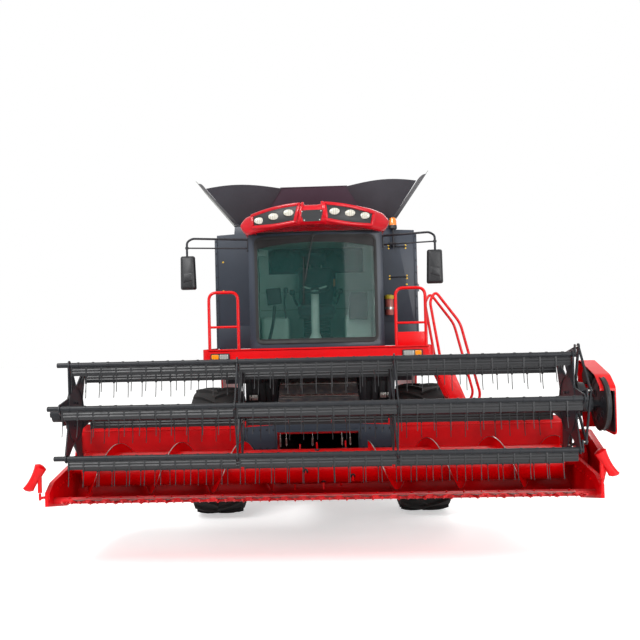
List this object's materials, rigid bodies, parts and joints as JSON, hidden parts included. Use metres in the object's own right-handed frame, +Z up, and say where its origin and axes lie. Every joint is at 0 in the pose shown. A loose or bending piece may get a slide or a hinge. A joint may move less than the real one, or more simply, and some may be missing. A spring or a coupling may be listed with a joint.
{
  "type": "combine harvester",
  "caption": "Self-propelled combine harvester with a raised grain header and reel, glazed cab, open-flapped grain tank and a folded unloading auger.",
  "frame": {"origin": "on the ground under the middle of the machine's outline", "axes": "+X to the machine's left, +Y to its rear, +Z up; the header points to -Y"},
  "size_m": [5.142, 8.2907, 4.2081],
  "materials": {
    "red_paint": "gloss",
    "dark_blue_paint": "satin",
    "grey_paint": "satin",
    "black_paint": "satin",
    "tyre_rubber": "matte",
    "bright_steel": "satin",
    "cast_iron": "matte",
    "window_glass": "gloss",
    "black_plastic": "matte",
    "amber_lens": "gloss",
    "seat_fabric": "matte",
    "tank_cloth": "matte"
  },
  "bodies": {
    "chassis": {"main_frame": "grey_paint", "front_axle": "black_paint", "rear_axle_beam": "black_paint", "threshing_body": "red_paint", "grain_tank": "dark_blue_paint", "engine_block": "cast_iron", "engine_hood": "red_paint", "straw_hood": "red_paint", "straw_chopper": "red_paint", "fuel_tank": "black_plastic", "cab_shell": "dark_blue_paint", "windscreen": "window_glass", "cab_roof": "red_paint", "driver_seat": "seat_fabric", "steering_column": "black_plastic", "platform": "red_paint", "ladder": "red_paint", "mirror_left": "black_plastic", "mirror_right": "black_plastic", "beacon": "amber_lens", "tank_corner_gussets": "tank_cloth"},
    "front_wheel_left": {"front_wheel_left": "tyre_rubber"},
    "rear_knuckle_left": {"steering_knuckle_left": "cast_iron"},
    "rear_wheel_left": {"rear_wheel_left": "tyre_rubber"},
    "side_cover_left": {"side_cover_left": "red_paint"},
    "tank_flap_left": {"tank_flap_left": "grey_paint"},
    "crop_divider_left": {"crop_divider_left": "red_paint"},
    "front_wheel_right": {"front_wheel_right": "tyre_rubber"},
    "rear_knuckle_right": {"steering_knuckle_right": "cast_iron"},
    "rear_wheel_right": {"rear_wheel_right": "tyre_rubber"},
    "side_cover_right": {"side_cover_right": "red_paint"},
    "tank_flap_right": {"tank_flap_right": "grey_paint"},
    "crop_divider_right": {"crop_divider_right": "red_paint"},
    "tank_flap_front": {"tank_flap_front": "dark_blue_paint"},
    "tank_flap_rear": {"tank_flap_rear": "dark_blue_paint"},
    "unloading_auger": {"unloading_auger": "red_paint"},
    "cab_door": {"cab_door": "window_glass"},
    "feeder": {"feeder_house": "dark_blue_paint", "header_body": "red_paint"},
    "knife": {"knife": "bright_steel"},
    "header_auger": {"header_auger": "red_paint"},
    "lift_barrels": {"lift_barrels": "black_paint"},
    "lift_rods": {"lift_rods": "bright_steel"},
    "reel_arms": {"reel_arm_left": "black_paint", "reel_arm_right": "black_paint", "reel_drive_guard": "red_paint"},
    "reel": {"reel_rotor": "black_paint"},
    "reel_control_spider": {"reel_control_spider": "black_paint"},
    "reel_barrels": {"reel_barrel_left": "black_paint", "reel_barrel_right": "black_paint"},
    "reel_rods": {"reel_rod_left": "bright_steel", "reel_rod_right": "bright_steel"},
    "reel_bar_1": {"reel_bar_1": "black_paint"},
    "reel_bar_2": {"reel_bar_2": "black_paint"},
    "reel_bar_3": {"reel_bar_3": "black_paint"},
    "reel_bar_4": {"reel_bar_4": "black_paint"},
    "reel_bar_5": {"reel_bar_5": "black_paint"},
    "reel_bar_6": {"reel_bar_6": "black_paint"}
  },
  "joints": [
    {"name": "front_wheel_left_spin", "type": "hinge", "parent": "chassis", "child": "front_wheel_left", "pos_m": [1.2, -0.9, 0.75], "axis": [1, 0, 0], "continuous": true},
    {"name": "steer_left", "type": "hinge", "parent": "chassis", "child": "rear_knuckle_left", "pos_m": [0.74, 2.8, 0.525], "axis": [0, 0, 1], "range_deg": [-30, 30]},
    {"name": "rear_wheel_left_spin", "type": "hinge", "parent": "rear_knuckle_left", "child": "rear_wheel_left", "pos_m": [0.98, 2.8, 0.525], "axis": [1, 0, 0], "continuous": true},
    {"name": "front_wheel_right_spin", "type": "hinge", "parent": "chassis", "child": "front_wheel_right", "pos_m": [-1.2, -0.9, 0.75], "axis": [1, 0, 0], "continuous": true},
    {"name": "steer_right", "type": "hinge", "parent": "chassis", "child": "rear_knuckle_right", "pos_m": [-0.74, 2.8, 0.525], "axis": [0, 0, 1], "range_deg": [-30, 30]},
    {"name": "rear_wheel_right_spin", "type": "hinge", "parent": "rear_knuckle_right", "child": "rear_wheel_right", "pos_m": [-0.98, 2.8, 0.525], "axis": [1, 0, 0], "continuous": true},
    {"name": "side_cover_left_lift", "type": "hinge", "parent": "chassis", "child": "side_cover_left", "pos_m": [1.258, 1.3, 2.42], "axis": [0, -1, 0], "range_deg": [0, 75]},
    {"name": "side_cover_right_lift", "type": "hinge", "parent": "chassis", "child": "side_cover_right", "pos_m": [-1.258, 1.3, 2.42], "axis": [0, 1, 0], "range_deg": [0, 75]},
    {"name": "cab_door_swing", "type": "hinge", "parent": "chassis", "child": "cab_door", "pos_m": [0.745, -0.607, 2.6], "axis": [0, 0, 1], "range_deg": [0, 80]},
    {"name": "tank_flap_left_fold", "type": "hinge", "parent": "chassis", "child": "tank_flap_left", "pos_m": [1.028, 0.465, 3.54], "axis": [0, -1, 0], "range_deg": [0, 125], "deforming": ["tank_corner_gussets"]},
    {"name": "tank_flap_right_fold", "type": "hinge", "parent": "chassis", "child": "tank_flap_right", "pos_m": [-1.028, 0.465, 3.54], "axis": [0, 1, 0], "range_deg": [0, 130]},
    {"name": "tank_flap_front_fold", "type": "hinge", "parent": "chassis", "child": "tank_flap_front", "pos_m": [0, -0.39, 3.506], "axis": [-1, 0, 0], "range_deg": [0, 127]},
    {"name": "tank_flap_rear_fold", "type": "hinge", "parent": "chassis", "child": "tank_flap_rear", "pos_m": [0, 1.32, 3.506], "axis": [1, 0, 0], "range_deg": [0, 127]},
    {"name": "unloading_auger_swing", "type": "hinge", "parent": "chassis", "child": "unloading_auger", "pos_m": [1.185, 0, 2.9], "axis": [0, 0, -1], "range_deg": [0, 95]},
    {"name": "feeder_lift", "type": "hinge", "parent": "chassis", "child": "feeder", "pos_m": [0, -0.85, 1.5], "axis": [-1, 0, 0], "range_deg": [-12, 8]},
    {"name": "lift_barrel_tilt", "type": "hinge", "parent": "chassis", "child": "lift_barrels", "pos_m": [0, -0.96, 0.56], "axis": [-1, 0, 0], "range_deg": [-12.6, 8.4]},
    {"name": "lift_rod_extend", "type": "slide", "parent": "lift_barrels", "child": "lift_rods", "axis": [0, -0.9933, 0.1153], "range_m": [-0.2, 0.135]},
    {"name": "header_auger_spin", "type": "hinge", "parent": "feeder", "child": "header_auger", "pos_m": [0, -2.98, 0.845], "axis": [1, 0, 0], "continuous": true},
    {"name": "knife_stroke", "type": "slide", "parent": "feeder", "child": "knife", "axis": [1, 0, 0], "range_m": [-0.038, 0.038]},
    {"name": "crop_divider_left_fold", "type": "hinge", "parent": "feeder", "child": "crop_divider_left", "pos_m": [2.403, -3.79, 0.87], "axis": [0, 0, -1], "range_deg": [0, 90]},
    {"name": "crop_divider_right_fold", "type": "hinge", "parent": "feeder", "child": "crop_divider_right", "pos_m": [-2.465, -3.79, 0.85], "axis": [0, 0, 1], "range_deg": [0, 90]},
    {"name": "reel_lift", "type": "hinge", "parent": "feeder", "child": "reel_arms", "pos_m": [0, -2.6, 1.3], "axis": [-1, 0, 0], "range_deg": [0, 25]},
    {"name": "reel_barrel_tilt", "type": "hinge", "parent": "feeder", "child": "reel_barrels", "pos_m": [0, -2.91, 0.96], "axis": [-1, 0, 0], "range_deg": [0, 24]},
    {"name": "reel_rod_extend", "type": "slide", "parent": "reel_barrels", "child": "reel_rods", "axis": [0, -0.7913, 0.6114], "range_m": [0, 0.2]},
    {"name": "reel_spin", "type": "hinge", "parent": "reel_arms", "child": "reel", "pos_m": [0, -3.65, 1.439], "axis": [1, 0, 0], "continuous": true},
    {"name": "reel_control_spider_spin", "type": "hinge", "parent": "reel_arms", "child": "reel_control_spider", "pos_m": [2.232, -3.65, 1.504], "axis": [1, 0, 0], "continuous": true},
    {"name": "reel_bar_1_pivot", "type": "hinge", "parent": "reel", "child": "reel_bar_1", "pos_m": [0, -4.11075, 1.52107], "axis": [1, 0, 0], "continuous": true},
    {"name": "reel_bar_2_pivot", "type": "hinge", "parent": "reel", "child": "reel_bar_2", "pos_m": [0, -3.8093, 1.87905], "axis": [1, 0, 0], "continuous": true},
    {"name": "reel_bar_3_pivot", "type": "hinge", "parent": "reel", "child": "reel_bar_3", "pos_m": [0, -3.34855, 1.79698], "axis": [1, 0, 0], "continuous": true},
    {"name": "reel_bar_4_pivot", "type": "hinge", "parent": "reel", "child": "reel_bar_4", "pos_m": [0, -3.18925, 1.35693], "axis": [1, 0, 0], "continuous": true},
    {"name": "reel_bar_5_pivot", "type": "hinge", "parent": "reel", "child": "reel_bar_5", "pos_m": [0, -3.4907, 0.99895], "axis": [1, 0, 0], "continuous": true},
    {"name": "reel_bar_6_pivot", "type": "hinge", "parent": "reel", "child": "reel_bar_6", "pos_m": [0, -3.95145, 1.08102], "axis": [1, 0, 0], "continuous": true}
  ],
  "couplings": [
    {"joint": "steer_right", "follows": "steer_left", "ratio": 1},
    {"joint": "tank_flap_right_fold", "follows": "tank_flap_left_fold", "ratio": 1.04},
    {"joint": "tank_flap_front_fold", "follows": "tank_flap_left_fold", "ratio": 1.016},
    {"joint": "tank_flap_rear_fold", "follows": "tank_flap_left_fold", "ratio": 1.016},
    {"joint": "lift_barrel_tilt", "follows": "feeder_lift", "ratio": 1.032},
    {"joint": "lift_rod_extend", "follows": "feeder_lift", "m_per_rad": 0.945},
    {"joint": "reel_barrel_tilt", "follows": "reel_lift", "ratio": 0.936},
    {"joint": "reel_rod_extend", "follows": "reel_lift", "m_per_rad": 0.455},
    {"joint": "reel_control_spider_spin", "follows": "reel_spin", "ratio": 1},
    {"joint": "reel_bar_1_pivot", "follows": "reel_spin", "ratio": -1},
    {"joint": "reel_bar_2_pivot", "follows": "reel_spin", "ratio": -1},
    {"joint": "reel_bar_3_pivot", "follows": "reel_spin", "ratio": -1},
    {"joint": "reel_bar_4_pivot", "follows": "reel_spin", "ratio": -1},
    {"joint": "reel_bar_5_pivot", "follows": "reel_spin", "ratio": -1},
    {"joint": "reel_bar_6_pivot", "follows": "reel_spin", "ratio": -1}
  ]
}
